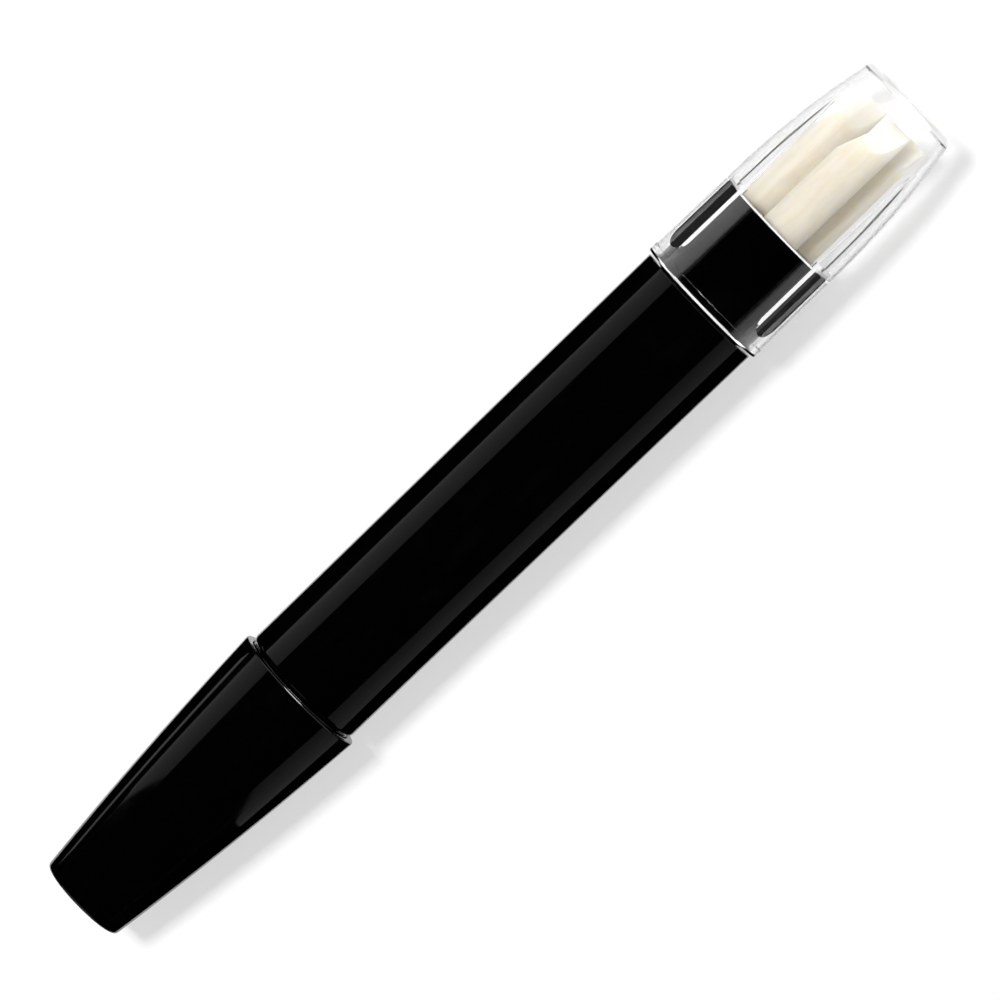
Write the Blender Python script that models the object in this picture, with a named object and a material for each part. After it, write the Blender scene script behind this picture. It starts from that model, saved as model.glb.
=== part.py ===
"""Nail polish corrector pen, lying on its side.

The pen's axis runs along X. The working end, under the tapered black cap, points to -X,
and the spare nibs, under the clear cap, point to +X. X = 0 is half way along the pen and
Z = 0 is the surface that it lies on. Angles round the pen are counted from straight up
(+Z) towards -Y.
"""

from math import cos, pi, radians, sin

import bmesh
import bpy
from mathutils import Matrix, Vector

MM = 0.001

# How finely round pieces are faceted
SIDES = 48
NIB_SIDES = 24
CURVE_STEPS = 8
FILLET_STEPS = 3
SHARP_ANGLE = 30.0

# Clearances
SEAT_GAP = 0.30 * MM
GRIP_GAP = 0.15 * MM
SLIP_GAP = 0.20 * MM

# Barrel: a tube with a slight draft, wider at its rear end
BARREL_LENGTH = 63.36 * MM
BARREL_FRONT_RADIUS = 7.95 * MM
BARREL_REAR_RADIUS = 8.185 * MM
BARREL_BORE_RADIUS = 6.65 * MM
BARREL_FRONT_EDGE = 0.45 * MM
BARREL_REAR_EDGE = 0.12 * MM

# Front cap: tapered, with bowed sides and a rim that stands proud of the barrel
FRONT_CAP_LENGTH = 35.0 * MM
FRONT_CAP_RIM_RADIUS = 8.66 * MM
FRONT_CAP_TIP_RADIUS = 5.61 * MM
FRONT_CAP_BOW = 0.30 * MM
FRONT_CAP_WALL = 0.95 * MM
FRONT_CAP_END_WALL = 1.2 * MM
FRONT_CAP_TIP_FILLET = 0.5 * MM
FRONT_CAP_TIP_SWEEP = 83.0
FRONT_CAP_RIM_EDGE = 0.22 * MM
FRONT_CAP_RIM_RUN = 0.44 * MM
FRONT_REVEAL = 0.64 * MM

# Front section: plug, shoulder, neck for the cap, cone and nose
SHOULDER_WIDTH = 0.9 * MM
NECK_LENGTH = 8.0 * MM
CONE_LENGTH = 3.7 * MM
NOSE_LENGTH = 5.2 * MM
NOSE_ROOT_RADIUS = 3.6 * MM
NOSE_TIP_RADIUS = 3.35 * MM
SNAP_BEAD_POSITION = 1.6 * MM
SNAP_BEAD_WIDTH = 1.2 * MM
NOSE_BORE_LENGTH = 12.0 * MM

# Hollow plugs that close the barrel's two ends and hold the reservoir's ends
FRONT_PLUG_LENGTH = 9.0 * MM
REAR_PLUG_LENGTH = 8.0 * MM
PLUG_WALL = 0.7 * MM
PLUG_BEAD_WIDTH = 1.2 * MM
PLUG_BEAD_SHARES = (0.3, 0.7)
PLUG_BEAD_HEIGHT = 0.15 * MM
PLUG_LEAD_IN = 0.4 * MM

# Inner seal of the front cap, and the room past its end and past the nib in it
SEAL_WALL = 0.6 * MM
SEAL_END_WALL = 0.8 * MM
SEAL_END_ROOM = 2.04 * MM
SEAL_FLANGE_WIDTH = 0.9 * MM
SEAL_TIP_ROOM = 5.0 * MM

# Felt nibs, the working one and the spares alike
NIB_LENGTH = 29.0 * MM
NIB_RADIUS = 2.6 * MM
NIB_CHISEL_LENGTH = 4.1 * MM
NIB_CHISEL_THICKNESS = 1.5 * MM
NIB_SLANT_LENGTH = 6.6 * MM
NIB_SLANT_DEPTH = 2.4 * MM
SPARE_TIP_ROOM = 2.22 * MM

# Fibre reservoir and its film sleeve
WRAP_WALL = 0.25 * MM
CORE_GAP = 0.20 * MM

# Holder of the spare nibs: plug, collar and three sockets
COLLAR_RADIUS = 7.33 * MM
COLLAR_HEIGHT = 12.18 * MM
COLLAR_TOP_EDGE = 0.25 * MM
HOLDER_FLOOR = 1.5 * MM
SOCKET_PITCH_RADIUS = 3.75 * MM
SOCKET_COUNT = 3
SOCKET_TURN = 7.0

# Clear cap: base ring, skirt over the collar, crown that curves in to a flat tip.
# Its wall is thinner in the skirt, from a small step inside at the collar's top.
CLEAR_CAP_LENGTH = 33.10 * MM
CLEAR_RING_RADIUS = 8.65 * MM
CLEAR_RING_HEIGHT = 1.13 * MM
CLEAR_SKIRT_RADIUS = 8.55 * MM
CLEAR_SHOULDER_RADIUS = 8.46 * MM
CLEAR_TIP_RADIUS = 6.51 * MM
CLEAR_CROWN_POWER = 2.2
CLEAR_TIP_FILLET = 0.8 * MM
CLEAR_WALL = 0.85 * MM
CLEAR_END_WALL = 0.85 * MM
CLEAR_STEP = 0.22 * MM
CLEAR_LEAD_IN = 0.30 * MM
REAR_REVEAL = 0.35 * MM

# Pads inside the skirt that grip the collar, each with a thin fin above it in the crown
PAD_ANGLES = (61.0, -61.0, 180.0)
PAD_WIDTH = 4.2 * MM
PAD_LENGTH = 9.9 * MM
PAD_ROOT_DEPTH = 0.45 * MM
PAD_TOP_LAP = 0.50 * MM
FIN_THICKNESS = 0.7 * MM
FIN_INNER_RADIUS = 6.68 * MM

# Places along the pen, worked out from the sizes above
OVERALL_LENGTH = FRONT_CAP_LENGTH + FRONT_REVEAL + BARREL_LENGTH + REAR_REVEAL + CLEAR_CAP_LENGTH
AXIS_HEIGHT = max(FRONT_CAP_RIM_RADIUS, CLEAR_RING_RADIUS) * cos(pi / SIDES)
FRONT_TIP_X = -OVERALL_LENGTH / 2
RIM_X = FRONT_TIP_X + FRONT_CAP_LENGTH
BARREL_FRONT_X = RIM_X + FRONT_REVEAL
BARREL_REAR_X = BARREL_FRONT_X + BARREL_LENGTH
CLEAR_BASE_X = BARREL_REAR_X + REAR_REVEAL
CLEAR_TIP_X = CLEAR_BASE_X + CLEAR_CAP_LENGTH

SHOULDER_X = BARREL_FRONT_X - SEAT_GAP
NECK_X = SHOULDER_X - SHOULDER_WIDTH
CONE_X = NECK_X - NECK_LENGTH
NOSE_X = CONE_X - CONE_LENGTH
NOSE_TIP_X = NOSE_X - NOSE_LENGTH
SEAL_FLOOR_X = FRONT_TIP_X + FRONT_CAP_END_WALL + SEAL_END_ROOM + SEAL_END_WALL
WORKING_TIP_X = SEAL_FLOOR_X + SEAL_TIP_ROOM
WORKING_REAR_X = WORKING_TIP_X + NIB_LENGTH
SECTION_FLOOR_X = NOSE_TIP_X + NOSE_BORE_LENGTH
SECTION_REAR_X = BARREL_FRONT_X + FRONT_PLUG_LENGTH

COLLAR_X = BARREL_REAR_X + SEAT_GAP
COLLAR_TOP_X = COLLAR_X + COLLAR_HEIGHT
FIN_FOOT_X = COLLAR_TOP_X + SEAT_GAP
SPARE_TIP_X = CLEAR_TIP_X - CLEAR_END_WALL - SPARE_TIP_ROOM
SPARE_REAR_X = SPARE_TIP_X - NIB_LENGTH
SOCKET_FLOOR_X = SPARE_REAR_X - SEAT_GAP
HOLDER_FLOOR_X = SOCKET_FLOOR_X - HOLDER_FLOOR
HOLDER_FRONT_X = BARREL_REAR_X - REAR_PLUG_LENGTH

CORE_FRONT_X = SECTION_FLOOR_X + SEAT_GAP
CORE_REAR_X = HOLDER_FLOOR_X - SEAT_GAP

# Turns Blender's upright cylinders so that they lie along X
LAID_ALONG_X = Matrix.Rotation(pi / 2, 4, "Y")

# Radii that follow from what each piece fits
PLUG_RADIUS = BARREL_BORE_RADIUS - SEAT_GAP
PLUG_CAVITY_RADIUS = PLUG_RADIUS - PLUG_WALL
WRAP_RADIUS = PLUG_CAVITY_RADIUS - SEAT_GAP
CORE_RADIUS = WRAP_RADIUS - WRAP_WALL - CORE_GAP
SOCKET_RADIUS = NIB_RADIUS + SLIP_GAP
SEAL_BORE_RADIUS = NOSE_ROOT_RADIUS + SEAT_GAP
SEAL_RADIUS = SEAL_BORE_RADIUS + SEAL_WALL
SKIRT_WALL = CLEAR_WALL - CLEAR_STEP
PAD_INNER_RADIUS = COLLAR_RADIUS + GRIP_GAP


def front_cap_radius(x):
    """Outer radius of the front cap: a straight taper, bowed outwards by a parabola."""
    share = (RIM_X - x) / FRONT_CAP_LENGTH
    taper = FRONT_CAP_RIM_RADIUS + (FRONT_CAP_TIP_RADIUS - FRONT_CAP_RIM_RADIUS) * share
    return taper + 4 * FRONT_CAP_BOW * share * (1 - share)


def front_cap_bore(x):
    return front_cap_radius(x) - FRONT_CAP_WALL


def clear_cap_radius(x):
    """Outer radius of the clear cap: a drafted skirt, then a crown that curves in."""
    if x < COLLAR_TOP_X:
        share = (x - CLEAR_BASE_X) / (COLLAR_TOP_X - CLEAR_BASE_X)
        return CLEAR_SKIRT_RADIUS + (CLEAR_SHOULDER_RADIUS - CLEAR_SKIRT_RADIUS) * share
    share = (x - COLLAR_TOP_X) / (CLEAR_TIP_X - COLLAR_TOP_X)
    fall = CLEAR_SHOULDER_RADIUS - CLEAR_TIP_RADIUS
    return CLEAR_SHOULDER_RADIUS - fall * share**CLEAR_CROWN_POWER


def crown_bore(x):
    return clear_cap_radius(x) - CLEAR_WALL


def skirt_bore(x):
    return clear_cap_radius(x) - SKIRT_WALL


def stations(start, end, count=CURVE_STEPS):
    """Evenly spaced places from start to end, both included."""
    return [start + (end - start) * i / count for i in range(count + 1)]


def corner(x, r, size, first, last):
    """A rounded corner at (x, r) in a turned outline, swept from angle first to last.

    Angles are in degrees in the outline's own plane, 0 along +X and 90 outwards.
    """
    turn = (first + last) / 2
    centre_x = x - size * (1 if cos(radians(turn)) > 0 else -1)
    centre_r = r - size * (1 if sin(radians(turn)) > 0 else -1)
    steps = [first + (last - first) * i / FILLET_STEPS for i in range(FILLET_STEPS + 1)]
    return [(centre_x + size * cos(radians(a)), centre_r + size * sin(radians(a))) for a in steps]


def bead(centre_x, width, base, top):
    """A low rounded bead round a plug or neck, from its -X foot to its +X foot."""
    turns = [pi * i / (2 * FILLET_STEPS) for i in range(2 * FILLET_STEPS + 1)]
    return [(centre_x - width / 2 * cos(a), base + (top - base) * sin(a)) for a in turns]


def finish(name, colour, roughness, metallic=0.0, transmission=0.0, ior=1.46):
    """The piece's own material."""
    material = bpy.data.materials.new(name + "_finish")
    material.use_nodes = True
    shader = material.node_tree.nodes["Principled BSDF"]
    shader.inputs["Base Color"].default_value = (*colour, 1.0)
    shader.inputs["Roughness"].default_value = roughness
    shader.inputs["Metallic"].default_value = metallic
    shader.inputs["Transmission Weight"].default_value = transmission
    shader.inputs["IOR"].default_value = ior
    material.diffuse_color = (*colour, 1.0)
    return material


def black_plastic(name):
    return finish(name, (0.006, 0.006, 0.007), 0.12)


def felt(name):
    return finish(name, (0.80, 0.74, 0.62), 0.95)


def add_object(name, bm, material=None, place=(0, 0, AXIS_HEIGHT)):
    """Turn a bmesh into an object with flat ends and smooth round faces."""
    bmesh.ops.recalc_face_normals(bm, faces=bm.faces)
    mesh = bpy.data.meshes.new(name)
    bm.to_mesh(mesh)
    bm.free()
    mesh.shade_smooth()
    mesh.set_sharp_from_angle(angle=radians(SHARP_ANGLE))
    if material:
        mesh.materials.append(material)
    obj = bpy.data.objects.new(name, mesh)
    obj.location = place
    bpy.context.scene.collection.objects.link(obj)
    return obj


def turned_mesh(outline, sides=SIDES):
    """Spin an outline of (x, radius) points round X. It is closed, or ends on the axis.

    A flat facet, not an edge, points straight down.
    """
    bm = bmesh.new()
    start = Matrix.Rotation(pi / sides, 3, "X")
    points = [bm.verts.new(start @ Vector((x, 0, -r))) for x, r in outline]
    edges = [bm.edges.new(pair) for pair in zip(points, points[1:])]
    if outline[0][1] > 0:
        edges.append(bm.edges.new((points[-1], points[0])))
    bmesh.ops.spin(
        bm, geom=points + edges, axis=(1, 0, 0), cent=(0, 0, 0), angle=2 * pi, steps=sides
    )
    bmesh.ops.remove_doubles(bm, verts=bm.verts, dist=0.001 * MM)
    return bm


def turned(name, outline, material, sides=SIDES, place=(0, 0, AXIS_HEIGHT)):
    return add_object(name, turned_mesh(outline, sides), material, place)


def round_the_axis(angle):
    """Rotation that carries straight up to the given angle round the pen."""
    return Matrix.Rotation(radians(angle), 4, "X")


def at_angle(radius, angle):
    """World place, on the pen's cross section, of a point at a radius and angle."""
    return Vector((0, 0, AXIS_HEIGHT)) + round_the_axis(angle) @ Vector((0, 0, radius))


def apply_boolean(body, operation, tool):
    """Cut, join or intersect body with tool, then remove the tool."""
    tool.hide_render = True
    tool.display_type = "WIRE"
    modifier = body.modifiers.new("shape", "BOOLEAN")
    modifier.operation = operation
    modifier.solver = "EXACT"
    modifier.object = tool
    bpy.context.view_layer.update()
    depsgraph = bpy.context.evaluated_depsgraph_get()
    shaped = bpy.data.meshes.new_from_object(body.evaluated_get(depsgraph))
    body.modifiers.remove(modifier)
    old = body.data
    body.data = shaped
    shaped.name = body.name
    bpy.data.meshes.remove(old)
    bpy.data.objects.remove(tool)
    shaped.shade_smooth()
    shaped.set_sharp_from_angle(angle=radians(SHARP_ANGLE))


def plug_beads(first_x, last_x):
    """Two sealing beads on a plug between first_x and last_x."""
    top = PLUG_RADIUS + PLUG_BEAD_HEIGHT
    points = []
    for share in PLUG_BEAD_SHARES:
        centre_x = first_x + (last_x - first_x) * share
        points += bead(centre_x, PLUG_BEAD_WIDTH, PLUG_RADIUS, top)
    return points


def make_barrel():
    outline = [(BARREL_FRONT_X, BARREL_BORE_RADIUS)]
    outline += corner(BARREL_FRONT_X, BARREL_FRONT_RADIUS, BARREL_FRONT_EDGE, 180, 90)
    outline += corner(BARREL_REAR_X, BARREL_REAR_RADIUS, BARREL_REAR_EDGE, 90, 0)
    outline += [(BARREL_REAR_X, BARREL_BORE_RADIUS)]
    return turned("barrel", outline, black_plastic("barrel"))


def make_front_cap():
    inner_end_x = FRONT_TIP_X + FRONT_CAP_END_WALL
    fillet_x = FRONT_TIP_X + FRONT_CAP_TIP_FILLET
    swept_to = 180 - FRONT_CAP_TIP_SWEEP
    outline = [(FRONT_TIP_X, 0)]
    outline += corner(
        FRONT_TIP_X, front_cap_radius(fillet_x), FRONT_CAP_TIP_FILLET, 180, swept_to
    )
    sides = stations(fillet_x, RIM_X - FRONT_CAP_RIM_RUN)[1:]
    outline += [(x, front_cap_radius(x)) for x in sides]
    outline += corner(RIM_X, front_cap_radius(RIM_X), FRONT_CAP_RIM_EDGE, 90, 0)
    outline += [(x, front_cap_bore(x)) for x in stations(RIM_X, inner_end_x)]
    outline += [(inner_end_x, 0)]
    return turned("front_cap", outline, black_plastic("front_cap"))


def make_front_section():
    """The nose piece: plug in the barrel, shoulder, neck with snap bead, cone and nose."""
    shoulder_radius = front_cap_bore(NECK_X) - SEAT_GAP
    neck_radius = front_cap_bore(CONE_X) - SEAT_GAP
    bead_x = NECK_X - SNAP_BEAD_POSITION
    bead_top = front_cap_bore(bead_x) - SLIP_GAP
    outline = [
        (NOSE_TIP_X, SOCKET_RADIUS),
        (NOSE_TIP_X, NOSE_TIP_RADIUS),
        (NOSE_X, NOSE_ROOT_RADIUS),
        (CONE_X, neck_radius),
    ]
    outline += bead(bead_x, SNAP_BEAD_WIDTH, neck_radius, bead_top)
    outline += [
        (NECK_X, neck_radius),
        (NECK_X, shoulder_radius),
        (SHOULDER_X, shoulder_radius),
        (SHOULDER_X, PLUG_RADIUS),
    ]
    outline += plug_beads(SHOULDER_X, SECTION_REAR_X)
    outline += [
        (SECTION_REAR_X - PLUG_LEAD_IN, PLUG_RADIUS),
        (SECTION_REAR_X, PLUG_RADIUS - PLUG_LEAD_IN),
        (SECTION_REAR_X, PLUG_CAVITY_RADIUS),
        (SECTION_FLOOR_X, PLUG_CAVITY_RADIUS),
        (SECTION_FLOOR_X, SOCKET_RADIUS),
    ]
    return turned("front_section", outline, black_plastic("front_section"))


def make_front_cap_seal():
    """Cup inside the front cap, with a flange at its mouth that the cap's wall holds."""
    mouth_x = NOSE_X - SEAT_GAP
    flange_x = mouth_x - SEAL_FLANGE_WIDTH
    flange_radius = front_cap_bore(flange_x) - SEAT_GAP
    outline = [
        (SEAL_FLOOR_X - SEAL_END_WALL, 0),
        (SEAL_FLOOR_X - SEAL_END_WALL, SEAL_RADIUS - SEAL_WALL),
        (SEAL_FLOOR_X, SEAL_RADIUS),
        (flange_x, SEAL_RADIUS),
        (flange_x, flange_radius),
        (mouth_x, flange_radius),
        (mouth_x, SEAL_BORE_RADIUS),
        (SEAL_FLOOR_X, SEAL_BORE_RADIUS),
        (SEAL_FLOOR_X, 0),
    ]
    return turned("front_cap_seal", outline, finish("front_cap_seal", (0.75, 0.76, 0.76), 0.45))


def cut_away(bm, point, normal):
    """Remove what lies on the normal's side of a plane and close the cut."""
    everything = bm.verts[:] + bm.edges[:] + bm.faces[:]
    cut = bmesh.ops.bisect_plane(
        bm, geom=everything, plane_co=point, plane_no=normal, clear_outer=True, dist=0.001 * MM
    )
    edges = [part for part in cut["geom_cut"] if isinstance(part, bmesh.types.BMEdge)]
    bmesh.ops.edgenet_fill(bm, edges=edges)


def nib_mesh():
    """A felt nib along +X, its rear end at X = 0, with a chisel tip slanted on one side.

    The chisel's broad faces look up and down, and the slant is on the +Y side.
    """
    bm = bmesh.new()
    bmesh.ops.create_cone(
        bm, cap_ends=True, segments=NIB_SIDES, radius1=NIB_RADIUS, radius2=NIB_RADIUS,
        depth=NIB_LENGTH, matrix=Matrix.Translation((NIB_LENGTH / 2, 0, 0)) @ LAID_ALONG_X,
    )
    half = NIB_CHISEL_THICKNESS / 2
    fall = NIB_RADIUS - half
    slant_start = Vector((NIB_LENGTH - NIB_SLANT_LENGTH, NIB_RADIUS, 0))
    cut_away(bm, (NIB_LENGTH, 0, half), (fall, 0, NIB_CHISEL_LENGTH))
    cut_away(bm, (NIB_LENGTH, 0, -half), (fall, 0, -NIB_CHISEL_LENGTH))
    cut_away(bm, slant_start, (NIB_SLANT_DEPTH, NIB_SLANT_LENGTH, 0))
    return bm


def make_working_nib():
    nib = add_object("working_nib", nib_mesh(), felt("working_nib"))
    nib.location.x = WORKING_REAR_X
    nib.rotation_euler = (0, 0, pi)
    return nib


def make_spare_nibs():
    """The spare nibs stand in their sockets with the broad faces of their chisels level."""
    for i in range(SOCKET_COUNT):
        name = f"spare_nib_{i + 1}"
        angle = SOCKET_TURN + 360 / SOCKET_COUNT * i
        nib = add_object(name, nib_mesh(), felt(name), at_angle(SOCKET_PITCH_RADIUS, angle))
        nib.location.x = SPARE_REAR_X


def make_reservoir():
    """Fibre rod with a blind hole that the working nib dips into, in a film sleeve."""
    hole_floor_x = WORKING_REAR_X + SEAT_GAP
    core = [
        (CORE_REAR_X, 0),
        (CORE_REAR_X, CORE_RADIUS),
        (CORE_FRONT_X, CORE_RADIUS),
        (CORE_FRONT_X, SOCKET_RADIUS),
        (hole_floor_x, SOCKET_RADIUS),
        (hole_floor_x, 0),
    ]
    turned("reservoir_core", core, finish("reservoir_core", (0.82, 0.80, 0.74), 0.9))
    wrap_bore = WRAP_RADIUS - WRAP_WALL
    wrap = [
        (CORE_FRONT_X, WRAP_RADIUS),
        (CORE_FRONT_X, wrap_bore),
        (CORE_REAR_X, wrap_bore),
        (CORE_REAR_X, WRAP_RADIUS),
    ]
    turned("reservoir_wrap", wrap, finish("reservoir_wrap", (0.86, 0.88, 0.90), 0.3))


def socket_cutter(angle):
    """Round cutter for a spare nib's socket, standing out past the collar's top."""
    past = COLLAR_TOP_X + COLLAR_HEIGHT
    depth = past - SOCKET_FLOOR_X
    bm = bmesh.new()
    along = Matrix.Translation(((past + SOCKET_FLOOR_X) / 2, 0, SOCKET_PITCH_RADIUS))
    bmesh.ops.create_cone(
        bm, cap_ends=True, segments=NIB_SIDES, radius1=SOCKET_RADIUS, radius2=SOCKET_RADIUS,
        depth=depth, matrix=along @ LAID_ALONG_X,
    )
    bmesh.ops.rotate(bm, matrix=round_the_axis(angle).to_3x3(), verts=bm.verts)
    return add_object("socket_cutter", bm)


def make_spare_nib_holder():
    """Hollow plug and collar, with three sockets for the spare nibs."""
    top = COLLAR_TOP_X - COLLAR_TOP_EDGE
    outline = [
        (HOLDER_FLOOR_X, 0),
        (HOLDER_FLOOR_X, PLUG_CAVITY_RADIUS),
        (HOLDER_FRONT_X, PLUG_CAVITY_RADIUS),
        (HOLDER_FRONT_X, PLUG_RADIUS - PLUG_LEAD_IN),
        (HOLDER_FRONT_X + PLUG_LEAD_IN, PLUG_RADIUS),
    ]
    outline += plug_beads(HOLDER_FRONT_X, COLLAR_X)
    outline += [(COLLAR_X, PLUG_RADIUS), (COLLAR_X, COLLAR_RADIUS), (top, COLLAR_RADIUS)]
    outline += [(COLLAR_TOP_X, COLLAR_RADIUS - COLLAR_TOP_EDGE), (COLLAR_TOP_X, 0)]
    holder = turned("spare_nib_holder", outline, black_plastic("spare_nib_holder"))
    for i in range(SOCKET_COUNT):
        apply_boolean(holder, "DIFFERENCE", socket_cutter(SOCKET_TURN + 360 / SOCKET_COUNT * i))
    return holder


def raised(name, outline, rise, angle):
    """A flat outline raised by a vector, then turned round the pen to the given angle."""
    bm = bmesh.new()
    face = bm.faces.new([bm.verts.new(point) for point in outline])
    grown = bmesh.ops.extrude_face_region(bm, geom=[face])
    moved = [v for v in grown["geom"] if isinstance(v, bmesh.types.BMVert)]
    bmesh.ops.translate(bm, vec=rise, verts=moved)
    bmesh.ops.rotate(bm, matrix=round_the_axis(angle).to_3x3(), verts=bm.verts)
    return add_object(name, bm)


def grip_pad(angle):
    """A low pad inside the skirt, with a round lower end and its root in the wall."""
    half = PAD_WIDTH / 2
    centre_x = COLLAR_TOP_X - PAD_LENGTH + half
    root = crown_bore(COLLAR_TOP_X) + PAD_ROOT_DEPTH
    arc = [radians(-90 - 180 * i / CURVE_STEPS) for i in range(CURVE_STEPS + 1)]
    outline = [(FIN_FOOT_X + PAD_TOP_LAP, half), (FIN_FOOT_X + PAD_TOP_LAP, -half)]
    outline += [(centre_x + half * cos(a), half * sin(a)) for a in arc]
    face = [(x, y, PAD_INNER_RADIUS) for x, y in outline]
    return raised("grip_pad", face, (0, 0, root - PAD_INNER_RADIUS), angle)


def crown_fin(angle):
    """A thin fin in the crown, straight along its inner edge, fading into the wall.

    Its foot stands over the collar's top.
    """
    drop = crown_bore(COLLAR_TOP_X) - FIN_INNER_RADIUS
    fall = CLEAR_SHOULDER_RADIUS - CLEAR_TIP_RADIUS
    end_x = COLLAR_TOP_X + (CLEAR_TIP_X - COLLAR_TOP_X) * (drop / fall) ** (1 / CLEAR_CROWN_POWER)
    outline = [(FIN_FOOT_X, FIN_INNER_RADIUS), (end_x, FIN_INNER_RADIUS)]
    outline += [(x, crown_bore(x) + CLEAR_WALL / 2) for x in stations(end_x, FIN_FOOT_X)]
    face = [(x, -FIN_THICKNESS / 2, r) for x, r in outline]
    return raised("crown_fin", face, (0, FIN_THICKNESS, 0), angle)


def make_clear_cap():
    """Thin clear shell: ring, skirt and curved crown, with three grip pads and three fins."""
    material = finish("clear_cap", (0.95, 0.96, 0.97), 0.03, transmission=1.0, ior=1.49)
    ring_x = CLEAR_BASE_X + CLEAR_RING_HEIGHT
    inner_end_x = CLEAR_TIP_X - CLEAR_END_WALL
    fillet_x = CLEAR_TIP_X - CLEAR_TIP_FILLET
    step_x = COLLAR_TOP_X - CLEAR_STEP
    lead_x = CLEAR_BASE_X + CLEAR_LEAD_IN
    outline = [(inner_end_x, 0)]
    outline += [(x, crown_bore(x)) for x in stations(inner_end_x, COLLAR_TOP_X)]
    outline += [(x, skirt_bore(x)) for x in (step_x, lead_x)]
    outline += [(CLEAR_BASE_X, skirt_bore(CLEAR_BASE_X) + CLEAR_LEAD_IN)]
    outline += [(CLEAR_BASE_X, CLEAR_RING_RADIUS)]
    outline += [(ring_x, CLEAR_RING_RADIUS), (ring_x, clear_cap_radius(ring_x))]
    outline += [(x, clear_cap_radius(x)) for x in stations(COLLAR_TOP_X, fillet_x)]
    outline += corner(CLEAR_TIP_X, clear_cap_radius(fillet_x), CLEAR_TIP_FILLET, 90, 0)[1:]
    outline += [(CLEAR_TIP_X, 0)]
    cap = turned("clear_cap", outline, material)
    for angle in PAD_ANGLES:
        apply_boolean(cap, "UNION", grip_pad(angle))
        apply_boolean(cap, "UNION", crown_fin(angle))
    return cap


for old in list(bpy.data.objects):
    bpy.data.objects.remove(old)

make_barrel()
make_front_section()
make_working_nib()
make_front_cap()
make_front_cap_seal()
make_reservoir()
make_spare_nib_holder()
make_spare_nibs()
make_clear_cap()
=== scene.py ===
"""Dresses the corrector pen's solids: fine meshes, plastics and felt, and the photo stage.

Every turned piece is spun round the pen's own axis, which runs along X. Angles round the
pen are counted from straight up towards -Y, as the solids count them.
"""

from math import cos, pi, radians, sin, sqrt, tan

import bpy
from bpy.props import FloatProperty, FloatVectorProperty, IntProperty, PointerProperty
from bpy.types import Operator, Panel, PropertyGroup
from mathutils import Matrix, Vector


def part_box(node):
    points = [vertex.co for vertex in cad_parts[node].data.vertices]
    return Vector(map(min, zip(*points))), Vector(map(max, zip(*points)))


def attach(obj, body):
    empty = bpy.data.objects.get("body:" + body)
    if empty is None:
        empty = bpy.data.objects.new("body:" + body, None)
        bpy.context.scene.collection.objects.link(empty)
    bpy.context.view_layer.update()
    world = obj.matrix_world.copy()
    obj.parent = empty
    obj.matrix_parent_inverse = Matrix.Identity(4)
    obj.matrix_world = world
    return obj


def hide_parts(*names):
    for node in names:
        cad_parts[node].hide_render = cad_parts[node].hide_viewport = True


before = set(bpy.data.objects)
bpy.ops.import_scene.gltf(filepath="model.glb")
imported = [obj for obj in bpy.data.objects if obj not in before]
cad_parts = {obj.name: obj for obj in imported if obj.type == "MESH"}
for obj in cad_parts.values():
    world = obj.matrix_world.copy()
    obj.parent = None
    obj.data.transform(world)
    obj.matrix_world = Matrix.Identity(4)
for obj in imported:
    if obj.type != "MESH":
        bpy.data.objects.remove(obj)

bl_info = {
    "name": "Nail polish corrector pen",
    "version": (1, 0, 0),
    "blender": (4, 5, 0),
    "location": "3D View > Sidebar > Corrector Pen",
    "description": "Models and dresses a nail polish corrector pen round its solids",
    "category": "Object",
}

MM = 0.001

# Points nearer than this are welded
WELD = 0.0005 * MM

# Angles in degrees past which an edge is shaded sharp, and past which felt is bevelled
PLASTIC_EDGE, FELT_EDGE, BEVEL_FROM = 30, 35, 14

# The solids are turned with 48 facets. The fine pieces lie inside those facets.
SOLID_FACETS = 48
INSIDE_FACETS = cos(pi / SOLID_FACETS)

# Ends of each solid along the pen, read from the frame
BARREL_LOW, BARREL_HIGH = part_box("barrel")
FRONT_CAP_LOW, FRONT_CAP_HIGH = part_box("front_cap")
SECTION_LOW, SECTION_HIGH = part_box("front_section")
SEAL_LOW, SEAL_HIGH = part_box("front_cap_seal")
HOLDER_LOW, HOLDER_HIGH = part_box("spare_nib_holder")
CLEAR_CAP_LOW, CLEAR_CAP_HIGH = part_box("clear_cap")
WORKING_NIB_LOW, WORKING_NIB_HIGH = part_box("working_nib")
SPARE_NIB_LOW, SPARE_NIB_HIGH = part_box("spare_nib_1")
AXIS = (CLEAR_CAP_LOW.z + CLEAR_CAP_HIGH.z) / 2


def size(name, description, mm):
    """A length that the user can change, with its default in millimetres."""
    return FloatProperty(
        name=name, description=description, default=mm * MM, min=0.0, unit="LENGTH", precision=5
    )


def turn_of(name, description, angle):
    """An angle that the user can change, with its default in degrees."""
    return FloatProperty(name=name, description=description, default=radians(angle), unit="ROTATION")


def level(name, description, value):
    """A strength or share that the user can change."""
    return FloatProperty(name=name, description=description, default=value, min=0.0)


def tint(name, description, colour):
    """A colour that the user can change, in linear red, green and blue."""
    return FloatVectorProperty(
        name=name, description=description, default=colour, size=3, min=0.0, max=1.0, subtype="COLOR"
    )


class PenBarrelSizes(PropertyGroup):
    front_radius: size("Front radius", "Outer radius at the working end", 7.95)
    rear_radius: size("Rear radius", "Outer radius at the clear cap", 8.185)
    bore_radius: size("Bore radius", "Inner radius", 6.65)
    front_edge: size("Front edge", "Rounding of the working end's edge", 0.45)
    rear_edge: size("Rear edge", "Rounding of the edge at the clear cap", 0.12)


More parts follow.
